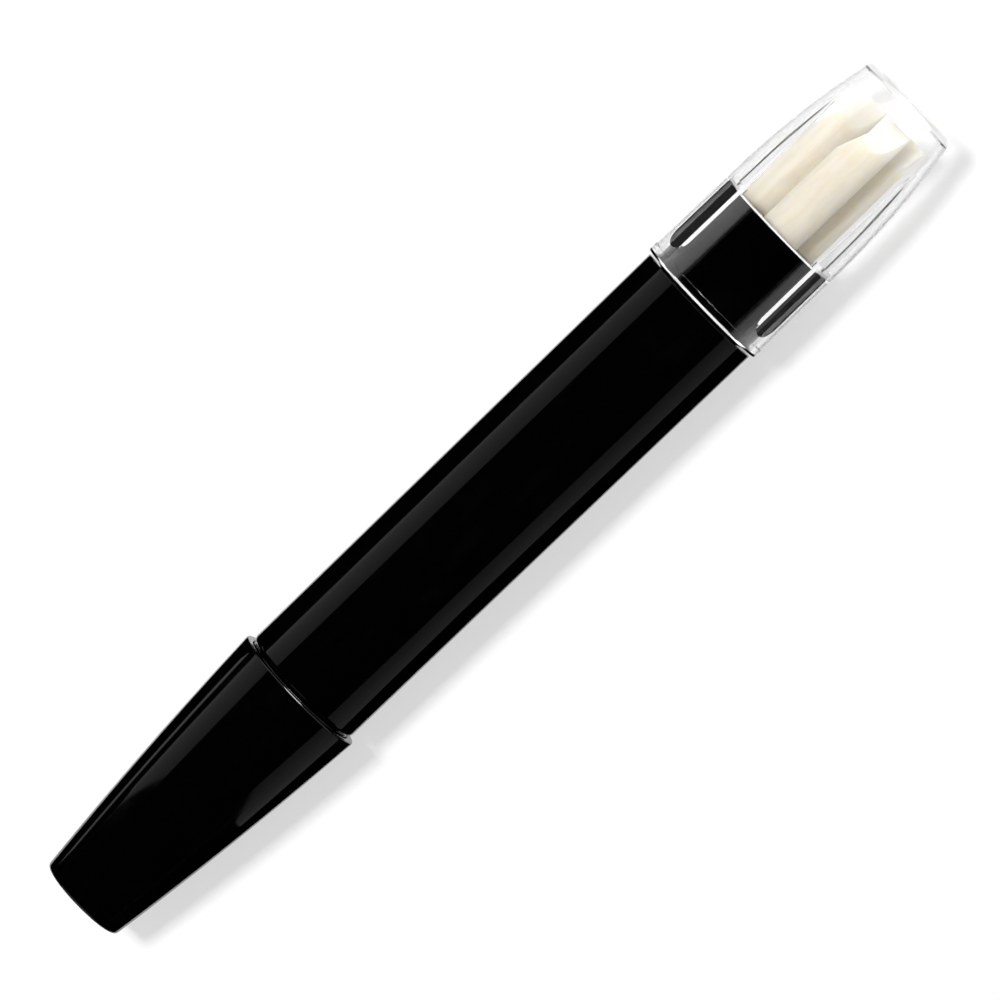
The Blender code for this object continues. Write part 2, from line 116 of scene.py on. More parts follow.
class PenFrontCapSizes(PropertyGroup):
    rim_radius: size("Rim radius", "Outer radius at the open end", 8.66)
    tip_radius: size("Tip radius", "Outer radius that the taper reaches at the closed end", 5.61)
    bow: size("Bow", "How far the sides bulge from a straight taper", 0.30)
    wall: size("Wall", "Thickness of the side", 0.95)
    end_wall: size("End wall", "Thickness of the closed end", 1.2)
    tip_fillet: size("Tip fillet", "Rounding of the closed end", 0.5)
    rim_edge: size("Rim edge", "Rounding of the open end's edges", 0.22)
    rim_reach: size("Rim reach", "How far the rim reaches past the solid's towards the barrel", 0.25)


class PenSectionSizes(PropertyGroup):
    shoulder_width: size("Shoulder width", "Width of the collar between cap and barrel", 0.9)
    neck_length: size("Neck length", "Length of the neck that the cap sits on", 8.0)
    cone_length: size("Cone length", "Length of the cone from neck to nose", 3.7)
    nose_root_radius: size("Nose root radius", "Outer radius of the nose at the cone", 3.6)
    nose_tip_radius: size("Nose tip radius", "Outer radius of the nose at the nib", 3.35)
    nose_bore_length: size("Nose bore length", "Length of the nib's bore", 12.0)
    bead_place: size("Bead place", "Distance of the snap bead from the shoulder", 1.6)
    bead_width: size("Bead width", "Width of the snap bead", 1.2)
    plug_wall: size("Plug wall", "Wall of the hollow plug in the barrel", 0.7)
    gap: size("Gap", "Seat gap between fixed pieces", 0.30)
    shoulder_slip: size("Shoulder slip", "Room round the shoulder in the cap", 0.12)
    edge: size("Edge", "Rounding of the moulded edges", 0.12)


class PenSealSizes(PropertyGroup):
    wall: size("Wall", "Thickness of the cup", 0.6)
    end_wall: size("End wall", "Thickness of the closed end", 0.8)
    flange_width: size("Flange width", "Width of the flange at the mouth", 0.9)
    edge: size("Edge", "Rounding of the edges", 0.12)


class PenNibSizes(PropertyGroup):
    radius: size("Radius", "Radius of the felt rod", 2.6)
    chisel_length: size("Chisel length", "Length of the chisel's broad faces", 4.1)
    chisel_thickness: size("Chisel thickness", "Thickness of the chisel at its tip", 1.5)
    slant_length: size("Slant length", "Length of the slanted side of the tip", 6.6)
    slant_depth: size("Slant depth", "Depth of the slanted side at the tip", 2.4)
    softness: size("Softness", "Rounding of the felt's edges", 0.22)
    pitch_radius: size("Pitch radius", "Distance of a spare nib from the pen's axis", 3.75)
    spares_turn: turn_of("Spares turn", "Angle of the first spare nib round the pen", 7.0)
    spares: IntProperty(name="Spares", description="How many spare nibs stand in the holder", default=3)


class PenHolderSizes(PropertyGroup):
    collar_radius: size("Collar radius", "Radius of the collar under the clear cap", 7.33)
    collar_length: size("Collar length", "Length of the collar", 12.18)
    top_edge: size("Top edge", "Rounding of the collar's top edge", 0.25)
    floor: size("Floor", "Thickness of the sockets' floor", 1.5)
    socket_slip: size("Socket slip", "Room round a nib in its socket", 0.20)


class PenClearCapSizes(PropertyGroup):
    ring_radius: size("Ring radius", "Outer radius of the base ring", 8.65)
    ring_height: size("Ring height", "Height of the base ring", 1.13)
    skirt_radius: size("Skirt radius", "Outer radius of the skirt at the ring", 8.55)
    shoulder_radius: size("Shoulder radius", "Outer radius where the crown begins", 8.46)
    tip_radius: size("Tip radius", "Outer radius that the crown reaches at the tip", 6.51)
    crown_power: level("Crown power", "How late the crown curves in", 2.2)
    tip_fillet: size("Tip fillet", "Rounding of the tip", 0.8)
    wall: size("Wall", "Thickness of the side", 0.85)
    end_wall: size("End wall", "Thickness of the tip's wall", 0.85)
    step: size("Step", "Depth of the step inside, between crown and skirt", 0.22)
    lead_in: size("Lead in", "Chamfer inside the mouth", 0.30)
    pad_angle: turn_of("Pad angle", "Angle of the two upper grip pads from straight up", 60.0)
    pad_width: size("Pad width", "Width of a grip pad", 3.7)
    pad_length: size("Pad length", "Length of a grip pad", 9.9)
    pad_press: size("Pad press", "How far the middle of a pad presses the collar", 0.062)
    fin_thickness: size("Fin thickness", "Thickness of a fin inside the crown", 0.45)
    fin_inner_radius: size("Fin inner radius", "Distance of a fin's inner edge from the axis", 6.68)
    edge: size("Edge", "Rounding of the moulded edges", 0.08)


class PenColours(PropertyGroup):
    black: tint("Black", "Black plastic", (0.0004, 0.0004, 0.0004))
    black_dust: tint("Black dust", "Faint marks on the black plastic", (0.0014, 0.0014, 0.0015))
    clear: tint("Clear", "Clear plastic", (1.0, 1.0, 1.0))
    felt: tint("Felt", "Felt fibres", (0.625, 0.59, 0.525))
    felt_deep: tint("Felt deep", "Felt between its fibres", (0.59, 0.545, 0.455))
    # Paler felt at the chisel: partly its cut fibre ends, partly painted light on the faces that turn
    # towards the tip.
    felt_cut_and_lit: tint("Felt cut", "Felt where the chisel is cut", (0.66, 0.64, 0.60))
    # Painted glow: the felt gives out a faint warm light of its own, which lifts its shaded creases
    # between the nibs.
    felt_painted_glow: tint("Felt glow", "Light that felt passes on from its far side", (0.13, 0.118, 0.088))
    seal: tint("Seal", "Soft inner seal", (0.72, 0.73, 0.73))
    film: tint("Film", "Film round the reservoir", (0.80, 0.83, 0.86))
    fibre: tint("Fibre", "Fibre reservoir", (0.78, 0.75, 0.66))


class PenStageSettings(PropertyGroup):
    floor_size: size("Floor size", "Side of the square floor", 12000.0)
    floor_colour: tint("Floor colour", "Colour of the floor", (0.47, 0.47, 0.47))
    floor_white: level("Floor white", "Brightness that the floor adds where it is seen", 0.56)
    ambient: level("Ambient", "Strength of the world's plain light", 0.34)
    key_level: level("Key level", "Light of the main lamp on the floor, as a share of white", 0.70)
    key_width: turn_of("Key width", "Angle that the main lamp spans", 8.0)
    key_distance: size("Key distance", "Distance of the main lamp from the pen", 1400.0)
    key_lean: turn_of("Key lean", "Lean of the main lamp from overhead towards +Y", 19.4)
    key_lead: turn_of("Key lead", "Lean of the main lamp along the pen, away from the clear tip", 3.0)
    left_low: turn_of("Left low", "Angle from overhead where the left lamp begins", 57.0)
    left_faint: level("Left faint", "Radiance of the left lamp where it begins", 0.62)
    left_strong: level("Left strong", "Radiance of the left lamp at the floor", 0.95)
    right_low: turn_of("Right low", "Angle from overhead where the right lamp begins", 69.5)
    right_faint: level("Right faint", "Radiance of the right lamp where it begins", 0.36)
    right_strong: level("Right strong", "Radiance of the right lamp at the floor", 0.46)
    side_reach: size("Side reach", "Distance of the side lamps from the pen", 700.0)
    side_end: size("Side end", "How far the side lamps go past the pen's middle towards +X", 950.0)
    left_end: size("Left end", "How far the left lamp goes past the pen's middle towards -X", 265.0)
    right_end: size("Right end", "How far the right lamp goes past the pen's middle towards -X", 229.0)
    hood_radius: size("Hood radius", "Radius of the dark hood", 2000.0)
    thin_start: size("Thin start", "Where along +X the hood's cloth begins to thin", 160.0)
    thin_end: size("Thin end", "Where along +X the hood's cloth is gone", 720.0)
    veil_start: size("Veil start", "Where along +X the hood begins to glow", 340.0)
    veil_end: size("Veil end", "Where along +X the hood glows in full", 680.0)
    end_window: turn_of("End window", "Half angle of the hood's window at the front cap's end", 38.0)
    edge_level: level("Edge level", "Radiance of the bright card past the clear tip", 48.0)
    edge_high: turn_of("Edge high", "Angle from overhead to that card's upper end", 48.0)
    edge_low: turn_of("Edge low", "Angle from overhead to that card's lower end", 84.0)
    edge_width: size("Edge width", "Width of that card", 520.0)
    edge_reach: size("Edge reach", "Distance of that card from the pen", 1200.0)
    veil: level("Veil", "Radiance that the hood gains towards its open side", 0.5)
    camera_distance: size("Camera distance", "Distance from the camera to the middle of the pen", 872.0)
    camera_lead: size("Camera lead", "How far the camera stands towards the clear tip", 81.775)
    aim_along: size("Aim along", "Where along the pen the picture's centre is", 0.775)
    aim_across: FloatProperty(
        name="Aim across", description="Where across the pen the picture's centre is",
        default=-0.22 * MM, unit="LENGTH", precision=5,
    )
    pen_turn: turn_of("Pen turn", "Angle of the pen in the picture, from the right upwards", 43.9)
    focal_length: level("Focal length", "Focal length of the camera in millimetres", 274.0)


class PenSettings(PropertyGroup):
    sides: IntProperty(name="Sides", description="Facets of a turned piece", default=192, min=24)
    barrel: PointerProperty(type=PenBarrelSizes)
    front_cap: PointerProperty(type=PenFrontCapSizes)
    section: PointerProperty(type=PenSectionSizes)
    seal: PointerProperty(type=PenSealSizes)
    nib: PointerProperty(type=PenNibSizes)
    holder: PointerProperty(type=PenHolderSizes)
    clear_cap: PointerProperty(type=PenClearCapSizes)
    colours: PointerProperty(type=PenColours)
    stage: PointerProperty(type=PenStageSettings)


def pen():
    return bpy.context.scene.corrector_pen


# ---- modelling ----------------------------------------------------------------------------


def clear_selection():
    for obj in list(bpy.context.selected_objects):
        obj.select_set(False)


def pick(obj):
    """Make obj the only selected object and the active one."""
    clear_selection()
    obj.select_set(True)
    bpy.context.view_layer.objects.active = obj


def select_all():
    bpy.ops.mesh.select_all(action="SELECT")


def edit_all():
    """Go into edit mode with the whole mesh selected."""
    bpy.ops.object.mode_set(mode="EDIT")
    select_all()


def leave_edit():
    bpy.ops.object.mode_set(mode="OBJECT")


def outward_normals():
    """Turn every face outwards, and leave edit mode."""
    select_all()
    bpy.ops.mesh.normals_make_consistent(inside=False)
    leave_edit()


def smooth(angle):
    """Shade the active piece smooth, with sharp edges past an angle in degrees."""
    bpy.ops.object.shade_smooth_by_angle(angle=radians(angle))


def rounded(outline, steps=6):
    """Round each corner of an outline of (x, radius, rounding) by an arc that meets its sides."""
    closed = outline[0][1] > 0
    count = len(outline)
    points = []
    for i, (x, r, rounding) in enumerate(outline):
        here = Vector((x, r))
        if rounding <= 0 or (not closed and i in (0, count - 1)):
            points.append(here)
            continue
        before = Vector(outline[i - 1][:2]) - here
        after = Vector(outline[(i + 1) % count][:2]) - here
        half = before.angle(after) / 2
        reach = min(rounding / tan(half), 0.49 * before.length, 0.49 * after.length)
        before.normalize()
        after.normalize()
        centre = here + (before + after).normalized() * (reach / cos(half))
        start = here + before * reach - centre
        end = here + after * reach - centre
        sweep = start.angle_signed(end)
        for step in range(steps + 1):
            turned = start.copy()
            turned.rotate(Matrix.Rotation(-sweep * step / steps, 2))
            points.append(centre + turned)
    if closed:
        points.append(points[0].copy())
    return points


def draw(name, points):
    """Draw a line through points by extruding one point. Edit mode stays on, all selected."""
    clear_selection()
    bpy.ops.mesh.primitive_plane_add(size=MM, location=(0, 0, 0))
    obj = bpy.context.object
    obj.name = obj.data.name = name
    edit_all()
    bpy.ops.mesh.merge(type="CENTER")
    bpy.ops.transform.translate(value=points[0])
    for here, there in zip(points, points[1:]):
        bpy.ops.mesh.extrude_region_move(TRANSFORM_OT_translate={"value": there - here})
    select_all()
    return obj


def spin_piece(name, outline):
    """Draw an outline below the pen's axis, then spin it round the axis."""
    points = [Vector((p.x, 0, AXIS - p.y * INSIDE_FACETS)) for p in rounded(outline)]
    obj = draw(name, points)
    bpy.ops.mesh.spin(steps=pen().sides, angle=2 * pi, center=(0, 0, AXIS), axis=(1, 0, 0))
    select_all()
    bpy.ops.mesh.remove_doubles(threshold=WELD)
    outward_normals()
    smooth(PLASTIC_EDGE)
    return obj


def slab(name, outline, rise, angle):
    """A closed outline raised by a vector, then turned round the pen to an angle."""
    points = [Vector(point) for point in outline]
    obj = draw(name, points + points[:1])
    bpy.ops.mesh.remove_doubles(threshold=WELD)
    bpy.ops.mesh.edge_face_add()
    bpy.ops.mesh.extrude_region_move(TRANSFORM_OT_translate={"value": rise})
    outward_normals()
    turn_round_pen(obj, angle)
    return obj


def combine(body, tool, operation):
    """Join tool to body or cut it out of body, and remove tool."""
    pick(body)
    bpy.ops.object.modifier_add(type="BOOLEAN")
    modifier = body.modifiers[-1]
    modifier.operation = operation
    modifier.solver = "EXACT"
    modifier.object = tool
    bpy.ops.object.modifier_apply(modifier=modifier.name)
    pick(tool)
    bpy.ops.object.delete()
    pick(body)


def turn_round_pen(obj, angle):
    """Turn a mesh round the pen's axis, from straight up towards -Y."""
    to_axis = Matrix.Translation((0, 0, AXIS))
    obj.data.transform(to_axis @ Matrix.Rotation(angle, 4, "X") @ to_axis.inverted())


def dress(obj, node, body, material, replaced=True):
    """Give a piece its material, and let it ride on its body in place of its solid."""
    obj.data.materials.clear()
    obj.data.materials.append(material)
    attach(obj, body)
    if replaced:
        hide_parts(node)
    return obj


# ---- materials ----------------------------------------------------------------------------

# How fine the noise patterns are, in waves per metre
SPECKS, WALL_WAVES, FUZZ, BLOTCHES = 2600.0, 90.0, 3800.0, 320.0
BLACK_SMEARS, SEAL_SMEARS, FILM_SMEARS = 160.0, 220.0, 260.0
NIB_FIBRES, RESERVOIR_FIBRES = 1500.0, 900.0

# How much darker the marks on the two pale plastics are, and the fibres deep in the reservoir
SEAL_MARKS, FILM_MARKS, RESERVOIR_DEEP = 0.93, 0.92, 0.8

# Refraction of the black polypropylene and of the clear polystyrene
BLACK_IOR, CLEAR_IOR = 1.49, 1.58

# Share of the clear tip that light crosses straight, so that it doesn't turn black inside
STRAIGHT_AT_TIP = 0.8


def node_group(name, inputs, outputs):
    """An empty shader group with float and colour sockets, and its input and output nodes."""
    group = bpy.data.node_groups.new(name, "ShaderNodeTree")
    for label, kind in inputs:
        group.interface.new_socket(label, in_out="INPUT", socket_type=kind)
    for label, kind in outputs:
        group.interface.new_socket(label, in_out="OUTPUT", socket_type=kind)
    return group, group.nodes.new("NodeGroupInput"), group.nodes.new("NodeGroupOutput")


def feed(tree, value, socket):
    """Give a socket a number, a colour or another socket's value."""
    if isinstance(value, bpy.types.NodeSocket):
        tree.links.new(value, socket)
    else:
        socket.default_value = value


def math(tree, operation, *values):
    """A Math node. Each value is a number or a socket."""
    node = tree.nodes.new("ShaderNodeMath")
    node.operation = operation
    for socket, value in zip(node.inputs, values):
        feed(tree, value, socket)
    return node.outputs[0]


def noise(tree, place, scale, detail, stretch=(1, 1, 1)):
    """A Noise Texture on the given coordinates, squeezed by stretch."""
    mapping = tree.nodes.new("ShaderNodeMapping")
    mapping.inputs["Scale"].default_value = stretch
    texture = tree.nodes.new("ShaderNodeTexNoise")
    texture.inputs["Detail"].default_value = detail
    tree.links.new(place, mapping.inputs["Vector"])
    tree.links.new(mapping.outputs["Vector"], texture.inputs["Vector"])
    feed(tree, scale, texture.inputs["Scale"])
    return texture.outputs["Fac"]


def ramp(tree, value, low, high):
    """Stretch a value so that low becomes 0 and high becomes 1."""
    node = tree.nodes.new("ShaderNodeMapRange")
    node.interpolation_type = "SMOOTHSTEP"
    node.inputs["From Min"].default_value = low
    node.inputs["From Max"].default_value = high
    tree.links.new(value, node.inputs["Value"])
    return node.outputs["Result"]


def mix_colour(tree, share, first, second):
    """Go from the first colour to the second. Each is a colour or a socket."""
    node = tree.nodes.new("ShaderNodeMix")
    node.data_type = "RGBA"
    tree.links.new(share, node.inputs["Factor"])
    colours = [s for s in node.inputs if s.type == "RGBA"]
    for socket, value in zip(colours, (first, second)):
        feed(tree, value, socket)
    return next(s for s in node.outputs if s.type == "RGBA")


def object_place(tree):
    return tree.nodes.new("ShaderNodeTexCoord").outputs["Object"]


def place_along(tree):
    """Where a point lies along the pen."""
    place = tree.nodes.new("ShaderNodeSeparateXYZ")
    tree.links.new(object_place(tree), place.inputs[0])
    return place.outputs["X"]


def moulded_skin():
    """Group for moulded plastic: faint handling marks and the slow waves of a moulded wall."""
    name = "moulded_skin"
    if name in bpy.data.node_groups:
        return bpy.data.node_groups[name]
    group, start, end = node_group(
        name,
        [("Polish", "NodeSocketFloat"), ("Dulling", "NodeSocketFloat"), ("Scale", "NodeSocketFloat")],
        [("Roughness", "NodeSocketFloat"), ("Marks", "NodeSocketFloat"), ("Height", "NodeSocketFloat")],
    )
    place = object_place(group)
    smears = ramp(group, noise(group, place, start.outputs["Scale"], 5.0, (1, 2.2, 2.2)), 0.5, 0.75)
    specks = ramp(group, noise(group, place, SPECKS, 2.0), 0.66, 0.8)
    marks = math(group, "MAXIMUM", math(group, "MULTIPLY", smears, 0.6), specks)
    rough = math(group, "MULTIPLY_ADD", marks, start.outputs["Dulling"], start.outputs["Polish"])
    group.links.new(rough, end.inputs["Roughness"])
    group.links.new(marks, end.inputs["Marks"])
    group.links.new(noise(group, place, WALL_WAVES, 1.0, (1, 2, 2)), end.inputs["Height"])
    return group


def felt_fibres():
    """Group for pressed felt: fibres along the rod, loose ends and slow blotches."""
    name = "felt_fibres"
    if name in bpy.data.node_groups:
        return bpy.data.node_groups[name]
    group, start, end = node_group(
        name,
        [("Fibre", "NodeSocketColor"), ("Deep", "NodeSocketColor"), ("Scale", "NodeSocketFloat")],
        [("Colour", "NodeSocketColor"), ("Height", "NodeSocketFloat")],
    )
    place = object_place(group)
    fibres = noise(group, place, start.outputs["Scale"], 6.0, (0.22, 1, 1))
    fuzz = noise(group, place, FUZZ, 3.0)
    blotches = noise(group, place, BLOTCHES, 2.0)
    shade = math(group, "MULTIPLY_ADD", blotches, 0.3, math(group, "MULTIPLY", fibres, 0.9))
    depth = ramp(group, shade, 0.74, 0.44)
    colour = mix_colour(group, depth, start.outputs["Fibre"], start.outputs["Deep"])
    group.links.new(colour, end.inputs["Colour"])
    group.links.new(math(group, "MULTIPLY_ADD", fuzz, 0.45, fibres), end.inputs["Height"])
    return group


def new_material(name, **values):
    """A material with its main shader's own values set, named with _ in place of a space."""
    material = bpy.data.materials.new(name)
    material.use_nodes = True
    shader = material.node_tree.nodes["Principled BSDF"]
    for label, value in values.items():
        shader.inputs[label.replace("_", " ")].default_value = value
    return material, material.node_tree, shader


def place_group(tree, group, values):
    node = tree.nodes.new("ShaderNodeGroup")
    node.node_tree = group
    for label, value in values.items():
        node.inputs[label].default_value = value
    return node


def bump(tree, shader, height, strength, distance):
    node = tree.nodes.new("ShaderNodeBump")
    node.inputs["Strength"].default_value = strength
    node.inputs["Distance"].default_value = distance
    tree.links.new(height, node.inputs["Height"])
    tree.links.new(node.outputs["Normal"], shader.inputs["Normal"])


def surface_of(tree):
    """The socket that takes a material's finished shader."""
    return next(n for n in tree.nodes if n.type == "OUTPUT_MATERIAL").inputs["Surface"]


def let_through(tree, share, shader):
    """Let light pass straight through a share of a surface."""
    through = tree.nodes.new("ShaderNodeBsdfTransparent")
    mix = tree.nodes.new("ShaderNodeMixShader")
    tree.links.new(share, mix.inputs["Fac"])
    tree.links.new(shader.outputs["BSDF"], mix.inputs[1])
    tree.links.new(through.outputs["BSDF"], mix.inputs[2])
    tree.links.new(mix.outputs["Shader"], surface_of(tree))
    return mix.outputs["Shader"]


def moulded_plastic(name, clean, marked, wave, skin, **values):
    """Plastic of one colour with marks in another, and a wave in its moulded wall."""
    material, tree, shader = new_material(name, **values)
    polish, dulling, scale = skin
    skin = place_group(tree, moulded_skin(), {"Polish": polish, "Dulling": dulling, "Scale": scale})
    colour = mix_colour(tree, skin.outputs["Marks"], (*clean, 1), (*marked, 1))
    tree.links.new(colour, shader.inputs["Base Color"])
    tree.links.new(skin.outputs["Roughness"], shader.inputs["Roughness"])
    bump(tree, shader, skin.outputs["Height"], wave, 0.2 * MM)
    return material


def black_plastic(name, polish=0.05):
    """Polished black plastic with faint marks."""
    colours = pen().colours
    return moulded_plastic(
        name, colours.black, colours.black_dust, 0.04, (polish, 0.06, BLACK_SMEARS),
        IOR=BLACK_IOR, Specular_IOR_Level=0.2,
    )


def soft_seal(name):
    """Soft plastic, a little milky."""
    pale = pen().colours.seal
    return moulded_plastic(
        name, pale, [SEAL_MARKS * c for c in pale], 0.05, (0.42, 0.15, SEAL_SMEARS),
        Subsurface_Weight=0.3, Subsurface_Radius=(MM, MM, MM),
    )


def film(name):
    """Thin pale film, crinkled."""
    pale = pen().colours.film
    return moulded_plastic(name, pale, [FILM_MARKS * c for c in pale], 0.1, (0.2, 0.1, FILM_SMEARS))


def clear_plastic(name):
    """Polished clear plastic. Light from lamps passes where it meets the wall squarely."""
    material, tree, shader = new_material(
        name, Base_Color=(*pen().colours.clear, 1), Transmission_Weight=1.0, IOR=CLEAR_IOR
    )
    skin = place_group(tree, moulded_skin(), {"Polish": 0.0, "Dulling": 0.0, "Scale": BLACK_SMEARS})
    tree.links.new(skin.outputs["Roughness"], shader.inputs["Roughness"])
    path = tree.nodes.new("ShaderNodeLightPath")
    facing = tree.nodes.new("ShaderNodeLayerWeight")
    facing.inputs["Blend"].default_value = 0.5
    square_on = ramp(tree, facing.outputs["Facing"], 0.46, 0.30)
    lamp_rays = math(tree, "MAXIMUM", path.outputs["Is Shadow Ray"], path.outputs["Is Diffuse Ray"])
    lamp_share = math(tree, "MULTIPLY", lamp_rays, square_on)
    wall_x = CLEAR_CAP_HIGH.x - pen().clear_cap.end_wall
    at_tip = ramp(tree, place_along(tree), wall_x - 0.15 * MM, wall_x + 0.15 * MM)
    tip_share = math(tree, "MULTIPLY", at_tip, STRAIGHT_AT_TIP)
    let_through(tree, math(tree, "MAXIMUM", lamp_share, tip_share), shader)
    return material


def felt(name, tip_x, way):
    """Pressed felt, paler where the chisel is cut, partly for its cut fibre ends and partly as painted
    light, and given a painted glow that lifts its shade. way is the side of X that the nib points to.
    """
    colours = pen().colours
    material, tree, shader = new_material(
        name, Roughness=0.95, Specular_IOR_Level=0.1, Sheen_Weight=0.15,
        # This emission is a painted glow that lifts the felt's shade; the felt is no lamp.
        Emission_Color=(*colours.felt_painted_glow, 1), Emission_Strength=1.0,
        Subsurface_Weight=0.9, Subsurface_Radius=(3.6 * MM, 3.0 * MM, 1.6 * MM), Subsurface_Scale=1.0,
    )
    fibres = place_group(
        tree, felt_fibres(),
        {"Fibre": (*colours.felt, 1), "Deep": (*colours.felt_deep, 1), "Scale": NIB_FIBRES},
    )
    cut_x = tip_x - way * pen().nib.chisel_length
    # Paler towards the chisel's tip: partly the cut fibre ends, partly painted light.
    cut = ramp(tree, place_along(tree), cut_x - way * 0.4 * MM, cut_x + way * 1.2 * MM)
    colour = mix_colour(tree, cut, fibres.outputs["Colour"], (*colours.felt_cut_and_lit, 1))
    tree.links.new(colour, shader.inputs["Base Color"])
    bump(tree, shader, fibres.outputs["Height"], 0.4, 0.04 * MM)
    return material


def reservoir_fibre(name):
    """Bonded fibres, coarser than the nibs' felt."""
    pale = pen().colours.fibre
    deep = [RESERVOIR_DEEP * c for c in pale]
    material, tree, shader = new_material(name, Roughness=0.9)
    fibres = place_group(
        tree, felt_fibres(), {"Fibre": (*pale, 1), "Deep": (*deep, 1), "Scale": RESERVOIR_FIBRES}
    )
    tree.links.new(fibres.outputs["Colour"], shader.inputs["Base Color"])
    bump(tree, shader, fibres.outputs["Height"], 0.5, 0.08 * MM)
    return material


# ---- shapes of the two caps ---------------------------------------------------------------


def front_cap_radius(x):
    """Outer radius of the front cap: a straight taper, bowed outwards by a parabola."""
    cap = pen().front_cap
    share = (FRONT_CAP_HIGH.x - x) / (FRONT_CAP_HIGH.x - FRONT_CAP_LOW.x)
    return cap.rim_radius + (cap.tip_radius - cap.rim_radius) * share + 4 * cap.bow * share * (1 - share)


def front_cap_bore(x):
    return front_cap_radius(x) - pen().front_cap.wall


def collar_top():
    return HOLDER_HIGH.x


def clear_cap_radius(x):
    """Outer radius of the clear cap: a drafted skirt, then a crown that curves in."""
    cap = pen().clear_cap
    if x < collar_top():
        share = (x - CLEAR_CAP_LOW.x) / (collar_top() - CLEAR_CAP_LOW.x)
        return cap.skirt_radius + (cap.shoulder_radius - cap.skirt_radius) * share
    share = (x - collar_top()) / (CLEAR_CAP_HIGH.x - collar_top())
    return cap.shoulder_radius + (cap.tip_radius - cap.shoulder_radius) * share**cap.crown_power


def crown_bore(x):
    return clear_cap_radius(x) - pen().clear_cap.wall


def skirt_bore(x):
    return crown_bore(x) + pen().clear_cap.step


def with_edge(edge, *points):
    """Points of (x, radius) that share one rounding."""
    return [(x, r, edge) for x, r in points]


def along(start, end, count, radius):
    """Points of a curved side from start to end, both included, with no rounding."""
    places = [start + (end - start) * i / count for i in range(count + 1)]
    return [(x, radius(x), 0) for x in places]


def low_bead(centre_x, width, base, top, steps=8):
    """A low rounded bead, from its -X foot to its +X foot."""
    turns = [pi * i / steps for i in range(steps + 1)]
    return [(centre_x - width / 2 * cos(a), base + (top - base) * sin(a), 0) for a in turns]


# ---- pieces -------------------------------------------------------------------------------


class PEN_OT_barrel(Operator):
    """Turn the barrel, a tube with a slight draft"""

    bl_idname = "pen.barrel"
    bl_label = "Barrel"

    def execute(self, context):
        sizes = pen().barrel
        outline = [
            (BARREL_LOW.x, sizes.bore_radius, sizes.rear_edge),
            (BARREL_LOW.x, sizes.front_radius, sizes.front_edge),
            (BARREL_HIGH.x, sizes.rear_radius, sizes.rear_edge),
            (BARREL_HIGH.x, sizes.bore_radius, sizes.rear_edge),
        ]
        barrel = spin_piece("pen_barrel", outline)
        dress(barrel, "barrel", "pen", black_plastic("barrel_black"))
        return {"FINISHED"}


class PEN_OT_front_cap(Operator):
    """Turn the tapered front cap with its bowed sides"""

    bl_idname = "pen.front_cap"
    bl_label = "Front cap"

    def execute(self, context):
        sizes = pen().front_cap
        tip_x, rim_x = FRONT_CAP_LOW.x, FRONT_CAP_HIGH.x + sizes.rim_reach
        floor_x = tip_x + sizes.end_wall
        side_from = tip_x + 2.2 * sizes.tip_fillet
        outline = [(tip_x, 0, 0), (tip_x, front_cap_radius(tip_x), sizes.tip_fillet)]
        outline += along(side_from, rim_x - 4 * sizes.rim_edge, 24, front_cap_radius)
        outline += [(rim_x, front_cap_radius(rim_x), sizes.rim_edge)]
        outline += [(rim_x, front_cap_bore(rim_x), sizes.rim_edge)]
        outline += along(rim_x - 4 * sizes.rim_edge, floor_x + sizes.tip_fillet, 16, front_cap_bore)
        outline += [(floor_x, front_cap_bore(floor_x), sizes.rim_edge), (floor_x, 0, 0)]
        cap = spin_piece("pen_front_cap", outline)
        dress(cap, "front_cap", "front_cap", black_plastic("front_cap_black"))
        return {"FINISHED"}


class PEN_OT_cap_seal(Operator):
    """Turn the soft cup that seals the nib inside the front cap"""

    bl_idname = "pen.cap_seal"
    bl_label = "Cap seal"

    def execute(self, context):
        sizes = pen().seal
        mouth_x = SEAL_HIGH.x
        flange_x = mouth_x - sizes.flange_width
        floor_x = SEAL_LOW.x + sizes.end_wall
        bore = pen().section.nose_root_radius + pen().section.gap
        outside = bore + sizes.wall
        flange = front_cap_bore(flange_x) - pen().section.gap
        outline = [(SEAL_LOW.x, 0, 0), (SEAL_LOW.x, outside, sizes.wall)]
        outline += with_edge(
            sizes.edge, (flange_x, outside), (flange_x, flange), (mouth_x, flange), (mouth_x, bore),
            (floor_x, bore),
        )
        outline += [(floor_x, 0, 0)]
        seal = spin_piece("pen_cap_seal", outline)
        dress(seal, "front_cap_seal", "front_cap", soft_seal("seal_polyethylene"))
        return {"FINISHED"}


